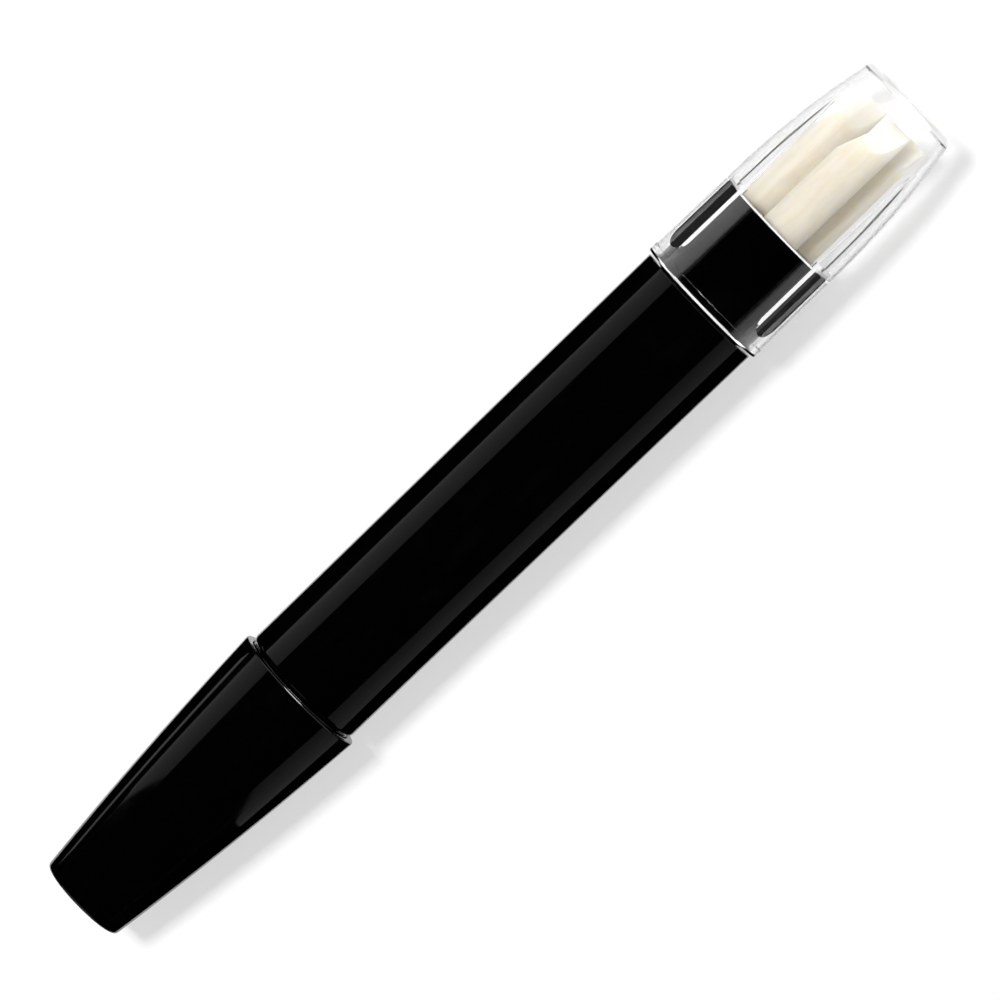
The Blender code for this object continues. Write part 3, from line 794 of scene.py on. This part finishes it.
class PEN_OT_front_section(Operator):
    """Turn the nose piece: nose, cone, neck with its snap bead, shoulder and plug"""

    bl_idname = "pen.front_section"
    bl_label = "Front section"

    def execute(self, context):
        sizes = pen().section
        barrel = pen().barrel
        gap = sizes.gap
        shoulder_x = BARREL_LOW.x - gap
        neck_x = shoulder_x - sizes.shoulder_width
        cone_x = neck_x - sizes.neck_length
        nose_x = cone_x - sizes.cone_length
        neck = front_cap_bore(cone_x) - gap
        shoulder = front_cap_bore(neck_x) - sizes.shoulder_slip
        bead_x = neck_x - sizes.bead_place
        plug = barrel.bore_radius - gap
        cavity = plug - sizes.plug_wall
        socket = pen().nib.radius + pen().holder.socket_slip
        floor_x = SECTION_LOW.x + sizes.nose_bore_length
        outline = [
            (SECTION_LOW.x, socket, sizes.edge),
            (SECTION_LOW.x, sizes.nose_tip_radius, 2 * sizes.edge),
            (nose_x, sizes.nose_root_radius, sizes.edge),
            (cone_x, neck, 4 * sizes.edge),
        ]
        outline += low_bead(bead_x, sizes.bead_width, neck, front_cap_bore(bead_x) - 0.2 * MM)
        outline += with_edge(
            sizes.edge, (neck_x, neck), (neck_x, shoulder), (shoulder_x, shoulder), (shoulder_x, plug),
            (SECTION_HIGH.x, plug), (SECTION_HIGH.x, cavity), (floor_x, cavity), (floor_x, socket),
        )
        section = spin_piece("pen_front_section", outline)
        dress(section, "front_section", "pen", black_plastic("front_section_black", polish=0.12))
        return {"FINISHED"}


def cylinder(name, radius, start_x, length, z=0.0):
    """A plain rod along X, the start of a nib or the cutter of a socket."""
    clear_selection()
    bpy.ops.mesh.primitive_cylinder_add(
        vertices=64, radius=radius, depth=length, location=(start_x + length / 2, 0, z),
        rotation=(0, pi / 2, 0),
    )
    obj = bpy.context.object
    obj.name = obj.data.name = name
    bpy.ops.object.transform_apply(location=True, rotation=True, scale=True)
    return obj


def felt_rod(name, length):
    """A felt nib along +X from the origin: a rod, cut to a chisel and slanted, edges softened."""
    sizes = pen().nib
    half = sizes.chisel_thickness / 2
    nib = cylinder(name, sizes.radius, 0.0, length)
    cuts = [
        ((length, 0, half), (sizes.radius - half, 0, sizes.chisel_length)),
        ((length, 0, -half), (sizes.radius - half, 0, -sizes.chisel_length)),
        ((length - sizes.slant_length, sizes.radius, 0), (sizes.slant_depth, sizes.slant_length, 0)),
    ]
    edit_all()
    for point, normal in cuts:
        select_all()
        bpy.ops.mesh.bisect(
            plane_co=point, plane_no=Vector(normal).normalized(), use_fill=True, clear_outer=True
        )
    outward_normals()
    bpy.ops.object.modifier_add(type="BEVEL")
    bevel = nib.modifiers[-1]
    bevel.width = sizes.softness
    bevel.segments = 4
    bevel.limit_method = "ANGLE"
    bevel.angle_limit = radians(BEVEL_FROM)
    bpy.ops.object.modifier_apply(modifier=bevel.name)
    smooth(FELT_EDGE)
    return nib


class PEN_OT_working_nib(Operator):
    """Cut the working felt nib and seat it in the nose"""

    bl_idname = "pen.working_nib"
    bl_label = "Working nib"

    def execute(self, context):
        nib = felt_rod("pen_working_nib", WORKING_NIB_HIGH.x - WORKING_NIB_LOW.x)
        nib.data.transform(
            Matrix.Translation((WORKING_NIB_HIGH.x, 0, AXIS)) @ Matrix.Rotation(pi, 4, "Z")
        )
        dress(nib, "working_nib", "working_nib", felt("working_nib_felt", WORKING_NIB_LOW.x, -1))
        return {"FINISHED"}


class PEN_OT_spare_nibs(Operator):
    """Cut one felt nib and stand its copies in the holder's sockets"""

    bl_idname = "pen.spare_nibs"
    bl_label = "Spare nibs"

    def execute(self, context):
        sizes = pen().nib
        first = felt_rod("pen_spare_nib_1", SPARE_NIB_HIGH.x - SPARE_NIB_LOW.x)
        nibs = [first]
        for i in range(1, sizes.spares):
            pick(first)
            bpy.ops.object.duplicate(linked=False)
            copy = bpy.context.object
            copy.name = copy.data.name = f"pen_spare_nib_{i + 1}"
            nibs.append(copy)
        for i, nib in enumerate(nibs):
            angle = sizes.spares_turn + 2 * pi * i / sizes.spares
            y, z = -sizes.pitch_radius * sin(angle), AXIS + sizes.pitch_radius * cos(angle)
            nib.data.transform(Matrix.Translation((SPARE_NIB_LOW.x, y, z)))
            node = f"spare_nib_{i + 1}"
            dress(nib, node, node, felt(f"{node}_felt", SPARE_NIB_HIGH.x, 1))
        return {"FINISHED"}


class PEN_OT_nib_holder(Operator):
    """Turn the holder of the spare nibs and bore its sockets"""

    bl_idname = "pen.nib_holder"
    bl_label = "Spare nib holder"

    def execute(self, context):
        sizes = pen().holder
        section = pen().section
        top_x = HOLDER_HIGH.x
        collar_x = top_x - sizes.collar_length
        plug = pen().barrel.bore_radius - section.gap
        cavity = plug - section.plug_wall
        socket_floor = SPARE_NIB_LOW.x - section.gap
        floor_x = socket_floor - sizes.floor
        outline = [(floor_x, 0, 0)]
        outline += with_edge(
            section.edge, (floor_x, cavity), (HOLDER_LOW.x, cavity), (HOLDER_LOW.x, plug),
            (collar_x, plug), (collar_x, sizes.collar_radius),
        )
        outline += [(top_x, sizes.collar_radius, sizes.top_edge), (top_x, 0, 0)]
        holder = spin_piece("pen_nib_holder", outline)
        nib = pen().nib
        for i in range(nib.spares):
            cutter = cylinder(
                "socket_cutter", nib.radius + sizes.socket_slip, socket_floor, top_x + MM - socket_floor,
                AXIS + nib.pitch_radius,
            )
            turn_round_pen(cutter, nib.spares_turn + 2 * pi * i / nib.spares)
            combine(holder, cutter, "DIFFERENCE")
        smooth(PLASTIC_EDGE)
        dress(holder, "spare_nib_holder", "pen", black_plastic("nib_holder_black"))
        return {"FINISHED"}


def fin_foot():
    return collar_top() + pen().section.gap


def grip_pad(angle):
    """A low pad inside the skirt. It has a round lower end, and its flat face presses the collar."""
    cap = pen().clear_cap
    half = cap.pad_width / 2
    centre_x = collar_top() - cap.pad_length + half
    face_z = AXIS + pen().holder.collar_radius - cap.pad_press
    root_z = AXIS + crown_bore(collar_top()) + 0.45 * MM
    top_x = fin_foot() + 0.5 * MM
    bends = [pi / 2 + pi * i / 24 for i in range(25)]
    outline = [(top_x, -half, face_z), (top_x, half, face_z)]
    outline += [(centre_x + half * cos(a), half * sin(a), face_z) for a in bends]
    return slab("grip_pad", outline, (0, 0, root_z - face_z), angle)


def crown_fin(angle):
    """A thin fin inside the crown, straight along its inner edge, fading into the wall."""
    cap = pen().clear_cap
    drop = cap.shoulder_radius - cap.wall - cap.fin_inner_radius
    fall = cap.shoulder_radius - cap.tip_radius
    end_x = collar_top() + (CLEAR_CAP_HIGH.x - collar_top()) * (drop / fall) ** (1 / cap.crown_power)
    corners = [(fin_foot(), cap.fin_inner_radius), (end_x, cap.fin_inner_radius)]
    corners += [(x, r + cap.wall / 2) for x, r, _ in along(end_x, fin_foot(), 16, crown_bore)]
    outline = [(x, -cap.fin_thickness / 2, AXIS + r * INSIDE_FACETS) for x, r in corners]
    return slab("crown_fin", outline, (0, cap.fin_thickness, 0), angle)


class PEN_OT_clear_cap(Operator):
    """Turn the thin clear cap and join the fins inside its crown"""

    bl_idname = "pen.clear_cap"
    bl_label = "Clear cap"

    def execute(self, context):
        sizes = pen().clear_cap
        base_x, tip_x = CLEAR_CAP_LOW.x, CLEAR_CAP_HIGH.x
        ring_x = base_x + sizes.ring_height
        floor_x = tip_x - sizes.end_wall
        edge = sizes.edge
        lead_x = base_x + sizes.lead_in
        outline = [(floor_x, 0, 0), (floor_x, crown_bore(floor_x), 3 * edge)]
        outline += along(floor_x - 8 * edge, collar_top(), 28, crown_bore)
        outline += [(x, skirt_bore(x), 0) for x in (collar_top() - sizes.step, lead_x)]
        outline += [(base_x, skirt_bore(base_x) + sizes.lead_in, 0), (base_x, sizes.ring_radius, edge)]
        outline += [(ring_x, sizes.ring_radius, edge), (ring_x, clear_cap_radius(ring_x), 0)]
        outline += along(collar_top(), tip_x - 2.2 * sizes.tip_fillet, 28, clear_cap_radius)
        outline += [(tip_x, clear_cap_radius(tip_x), sizes.tip_fillet), (tip_x, 0, 0)]
        cap = spin_piece("pen_clear_cap", outline)
        for angle in (sizes.pad_angle, -sizes.pad_angle, pi):
            combine(cap, grip_pad(angle), "UNION")
            combine(cap, crown_fin(angle), "UNION")
        smooth(PLASTIC_EDGE)
        dress(cap, "clear_cap", "clear_cap", clear_plastic("clear_cap_polystyrene"))
        return {"FINISHED"}


class PEN_OT_reservoir(Operator):
    """Give the hidden fibre reservoir and its film sleeve their materials"""

    bl_idname = "pen.reservoir"
    bl_label = "Reservoir"

    def execute(self, context):
        for node, material in (
            ("reservoir_core", reservoir_fibre("reservoir_core_fibre")),
            ("reservoir_wrap", film("reservoir_wrap_film")),
        ):
            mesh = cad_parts[node].data
            mesh.materials.clear()
            mesh.materials.append(material)
        return {"FINISHED"}


# ---- stage --------------------------------------------------------------------------------

# Cards on the floor that the glossy sides mirror: height in millimetres, and corners in metres.
# Each lies a hair higher than the one that it overlaps.
DARK_CARDS = (
    ("left_card", 0.4, ((-0.5, 0.012), (0.6, 0.012), (0.6, 0.130), (-0.5, 0.130))),
    ("right_card", 0.4, ((-0.5, -1.5), (0.6, -1.5), (0.6, -0.012), (-0.5, -0.012))),
    (
        "end_card", 0.5,
        ((-0.088, 0.012), (-0.088, 0.13), (-0.265, 0.7), (-0.51, 1.5), (-1.5, 1.5), (-1.5, 0.012)),
    ),
)
GREY_CARD = (
    "grey_card", 0.6,
    ((-0.052, -0.027), (-0.43, -1.5), (0.6, -1.5), (0.6, -0.053), (-0.015, -0.053)),
)
FLOOR_STRIP = ("floor_strip", 0.6, ((-0.038, 0.031), (-0.038, 0.040), (-0.073, 0.039), (-0.073, 0.029)))
STRIP_RADIANCE = 1.0

# Height of the hood's foot, the distances that the camera sees, and its sensor in millimetres
HOOD_FOOT = 1.0 * MM
CAMERA_CLIP = (0.05, 50.0)
SENSOR_WIDTH = 36.0


def link(name, data):
    obj = bpy.data.objects.new(name, data)
    bpy.context.scene.collection.objects.link(obj)
    return obj


def set_axes(obj, place, right, up, back):
    """Stand an object at a place, with its own three axes in the given directions."""
    obj.matrix_world = Matrix.Translation(place) @ Matrix((right, up, back)).transposed().to_4x4()


def pen_way_square_to(back):
    """The pen's direction, +X, made square to another direction."""
    way = Vector((1, 0, 0))
    return (way - back * way.dot(back)).normalized()


def only_seen_by(obj, **rays):
    """Let only the named kinds of ray see an object."""
    for kind in ("camera", "diffuse", "glossy", "transmission", "volume_scatter", "shadow"):
        setattr(obj, "visible_" + kind, rays.get(kind, False))


def area_lamp(name, place, aim, width, length, radiance):
    """A flat lamp of even radiance, its long side along the pen. The camera doesn't see it."""
    data = bpy.data.lights.new(name, "AREA")
    data.shape = "RECTANGLE"
    data.size, data.size_y = length, width
    data.energy = radiance * length * width * pi
    lamp = link(name, data)
    lamp.visible_camera = False
    back = (Vector(place) - Vector(aim)).normalized()
    across = pen_way_square_to(back)
    set_axes(lamp, place, across, back.cross(across), back)
    return lamp


def matt_black(name, **values):
    return new_material(name, Base_Color=(0, 0, 0, 1), Specular_IOR_Level=0.0, **values)


def glowing(name, radiance):
    return matt_black(name, Emission_Color=(1, 1, 1, 1), Emission_Strength=radiance)[0]


def dark_cloth(name, open_end=False):
    """Black cloth that only reflections find. Light that goes straight through glass misses it.

    At an open end, towards +X, the cloth thins out and light shows.
    """
    stage = pen().stage
    material, tree, shader = matt_black(name, Roughness=1.0)
    path = tree.nodes.new("ShaderNodeLightPath")
    mirrored = math(tree, "GREATER_THAN", path.outputs["Glossy Depth"], 0.5)
    if not open_end:
        let_through(tree, math(tree, "SUBTRACT", 1.0, mirrored), shader)
        return material
    thickness = ramp(tree, place_along(tree), stage.thin_end, stage.thin_start)
    cover = math(tree, "MULTIPLY", mirrored, thickness)
    cloth = let_through(tree, math(tree, "SUBTRACT", 1.0, cover), shader)
    brightness = ramp(tree, place_along(tree), stage.veil_start, stage.veil_end)
    shine = math(tree, "MULTIPLY", mirrored, brightness)
    glow = tree.nodes.new("ShaderNodeEmission")
    tree.links.new(math(tree, "MULTIPLY", shine, stage.veil), glow.inputs["Strength"])
    both = tree.nodes.new("ShaderNodeAddShader")
    tree.links.new(cloth, both.inputs[0])
    tree.links.new(glow.outputs["Emission"], both.inputs[1])
    tree.links.new(both.outputs["Shader"], surface_of(tree))
    return material


def card(name, corners, material, **rays):
    """A flat card, seen by the named kinds of ray, or by all where none is named."""
    mesh = bpy.data.meshes.new(name)
    mesh.from_pydata(corners, [], [tuple(range(len(corners)))])
    mesh.materials.append(material)
    obj = link(name, mesh)
    if rays:
        only_seen_by(obj, **rays)


def floor_card(row, material):
    """A card on the floor that only reflections find."""
    name, height, corners = row
    card(name, [(x, y, height * MM) for x, y in corners], material, glossy=True)


def dark_hood():
    """Half a sphere of thin cloth over the pen, with a window at the front cap's end."""
    stage = pen().stage
    clear_selection()
    bpy.ops.mesh.primitive_uv_sphere_add(
        segments=64, ring_count=32, radius=stage.hood_radius, location=(0, 0, 0)
    )
    hood = bpy.context.object
    hood.name = hood.data.name = "dark_hood"
    window_x = -stage.hood_radius * cos(stage.end_window)
    edit_all()
    for place, out in (((0, 0, HOOD_FOOT), (0, 0, -1)), ((window_x, 0, 0), (-1, 0, 0))):
        select_all()
        bpy.ops.mesh.bisect(plane_co=place, plane_no=out, clear_outer=True)
    leave_edit()
    hood.data.materials.append(dark_cloth("thin_cloth", open_end=True))
    only_seen_by(hood, glossy=True, transmission=True)


def edge_card():
    """A small bright card past the clear tip, which puts the highlights on the rims."""
    stage = pen().stage
    high, low = stage.edge_high, stage.edge_low
    reach, half = stage.edge_reach, stage.edge_width / 2
    corners = [
        (reach * sin(angle), y, AXIS + reach * cos(angle))
        for angle, y in ((high, -half), (high, half), (low, half), (low, -half))
    ]
    card("edge_card", corners, glowing("edge_glow", stage.edge_level), glossy=True)


def side_lamps(name, start, end, faint, strong, end_x, strips=6):
    """Long lamps side by side round the pen, from one angle from overhead to another."""
    stage = pen().stage
    reach = stage.side_reach
    middle_x = (stage.side_end - end_x) / 2
    length = stage.side_end + end_x
    step = (end - start) / strips
    width = 2 * reach * tan(abs(step) / 2)
    for i in range(strips):
        angle = start + step * (i + 0.5)
        radiance = faint + (strong - faint) * (i + 0.5) / strips
        place = (middle_x, reach * sin(angle), AXIS + reach * cos(angle))
        area_lamp(f"{name}_{i + 1}", place, (middle_x, 0, AXIS), width, length, radiance)


def key_lamp():
    """The main lamp, which casts the shadow. Gloss and glass don't show it."""
    stage = pen().stage
    aim = Vector((0, 0, AXIS))
    lean = Vector((-tan(stage.key_lead), tan(stage.key_lean), 1)).normalized()
    width = 2 * stage.key_distance * tan(stage.key_width / 2)
    spread = (width / stage.key_distance) ** 2
    radiance = stage.key_level * pi / (spread * lean.z)
    key = area_lamp("key_lamp", aim + lean * stage.key_distance, aim, width, width, radiance)
    key.visible_glossy = False
    key.visible_transmission = False


def looked_at(tree):
    """1 for a ray that looks at the background, from the camera, off gloss or through glass."""
    path = tree.nodes.new("ShaderNodeLightPath")
    seen = math(tree, "MAXIMUM", path.outputs["Is Camera Ray"], path.outputs["Is Glossy Ray"])
    return math(tree, "MAXIMUM", seen, path.outputs["Is Transmission Ray"])


def floor_material():
    """A pale matt floor that keeps the shadow and is white where it is looked at."""
    stage = pen().stage
    material, tree, shader = new_material(
        "pale_floor", Base_Color=(*stage.floor_colour, 1), Roughness=1.0, Specular_IOR_Level=0.0,
        Emission_Color=(1, 1, 1, 1),
    )
    white = math(tree, "MULTIPLY", looked_at(tree), stage.floor_white)
    tree.links.new(white, shader.inputs["Emission Strength"])
    return material


def set_world():
    """Plain white light all round, seen as white where it is looked at."""
    world = bpy.data.worlds.new("plain_world")
    bpy.context.scene.world = world
    world.use_nodes = True
    tree = world.node_tree
    background = tree.nodes["Background"]
    background.inputs["Color"].default_value = (1, 1, 1, 1)
    ambient = pen().stage.ambient
    strength = math(tree, "MULTIPLY_ADD", looked_at(tree), 1.0 - ambient, ambient)
    tree.links.new(strength, background.inputs["Strength"])


def set_camera():
    """The camera of the photograph, with the pen turned in its picture."""
    stage = pen().stage
    data = bpy.data.cameras.new("camera")
    data.lens = stage.focal_length
    data.sensor_width = SENSOR_WIDTH
    data.clip_start, data.clip_end = CAMERA_CLIP
    camera = link("camera", data)
    aim = Vector((stage.aim_along, stage.aim_across, AXIS))
    lead = stage.camera_lead - stage.aim_along
    height = sqrt(stage.camera_distance**2 - lead**2)
    place = aim + Vector((lead, 0, height))
    back = (place - aim).normalized()
    pen_way = pen_way_square_to(back)
    side_way = back.cross(pen_way)
    turn = stage.pen_turn
    right = pen_way * cos(turn) - side_way * sin(turn)
    up = pen_way * sin(turn) + side_way * cos(turn)
    set_axes(camera, place, right, up, back)
    bpy.context.scene.camera = camera


class PEN_OT_stage(Operator):
    """Lay the floor, hang the dark hood, and set the lamps, the world and the camera"""

    bl_idname = "pen.stage"
    bl_label = "Stage"

    def execute(self, context):
        stage = pen().stage
        half = stage.floor_size / 2
        corners = [(x * half, y * half, 0) for x, y in ((-1, -1), (1, -1), (1, 1), (-1, 1))]
        card("floor", corners, floor_material())
        dark_hood()
        cloth = dark_cloth("dark_cloth")
        for row in DARK_CARDS:
            floor_card(row, cloth)
        floor_card(GREY_CARD, glowing("grey_glow", stage.right_strong))
        floor_card(FLOOR_STRIP, glowing("strip_glow", STRIP_RADIANCE))
        edge_card()
        key_lamp()
        side_lamps(
            "left_lamp", stage.left_low, pi / 2,
            stage.left_faint, stage.left_strong, stage.left_end,
        )
        side_lamps(
            "right_lamp", -stage.right_low, -pi / 2,
            stage.right_faint, stage.right_strong, stage.right_end,
        )
        set_world()
        set_camera()
        bpy.context.scene.view_settings.view_transform = "Standard"
        return {"FINISHED"}


class PEN_PT_tools(Panel):
    """Lists the pen's pieces and their sizes in the sidebar"""

    bl_idname = "PEN_PT_tools"
    bl_label = "Corrector Pen"
    bl_space_type = "VIEW_3D"
    bl_region_type = "UI"
    bl_category = "Corrector Pen"

    def draw(self, context):
        layout = self.layout
        settings = context.scene.corrector_pen
        layout.prop(settings, "sides")
        for label in PenSettings.__annotations__:
            group = getattr(settings, label)
            if not isinstance(group, PropertyGroup):
                continue
            box = layout.box()
            box.label(text=label.replace("_", " ").capitalize())
            for name in group.__annotations__:
                box.prop(group, name)
        for operator in OPERATORS:
            layout.operator(operator.bl_idname)


OPERATORS = (
    PEN_OT_barrel,
    PEN_OT_front_cap,
    PEN_OT_cap_seal,
    PEN_OT_front_section,
    PEN_OT_working_nib,
    PEN_OT_spare_nibs,
    PEN_OT_nib_holder,
    PEN_OT_clear_cap,
    PEN_OT_reservoir,
    PEN_OT_stage,
)

CLASSES = (
    PenBarrelSizes,
    PenFrontCapSizes,
    PenSectionSizes,
    PenSealSizes,
    PenNibSizes,
    PenHolderSizes,
    PenClearCapSizes,
    PenColours,
    PenStageSettings,
    PenSettings,
    *OPERATORS,
    PEN_PT_tools,
)


def register():
    for each in CLASSES:
        bpy.utils.register_class(each)
    bpy.types.Scene.corrector_pen = PointerProperty(type=PenSettings)


def unregister():
    del bpy.types.Scene.corrector_pen
    for each in reversed(CLASSES):
        bpy.utils.unregister_class(each)


def main():
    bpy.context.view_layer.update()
    register()
    bpy.ops.pen.barrel()
    bpy.ops.pen.front_cap()
    bpy.ops.pen.cap_seal()
    bpy.ops.pen.front_section()
    bpy.ops.pen.working_nib()
    bpy.ops.pen.spare_nibs()
    bpy.ops.pen.nib_holder()
    bpy.ops.pen.clear_cap()
    bpy.ops.pen.reservoir()
    bpy.ops.pen.stage()


if __name__ == "__main__":
    main()
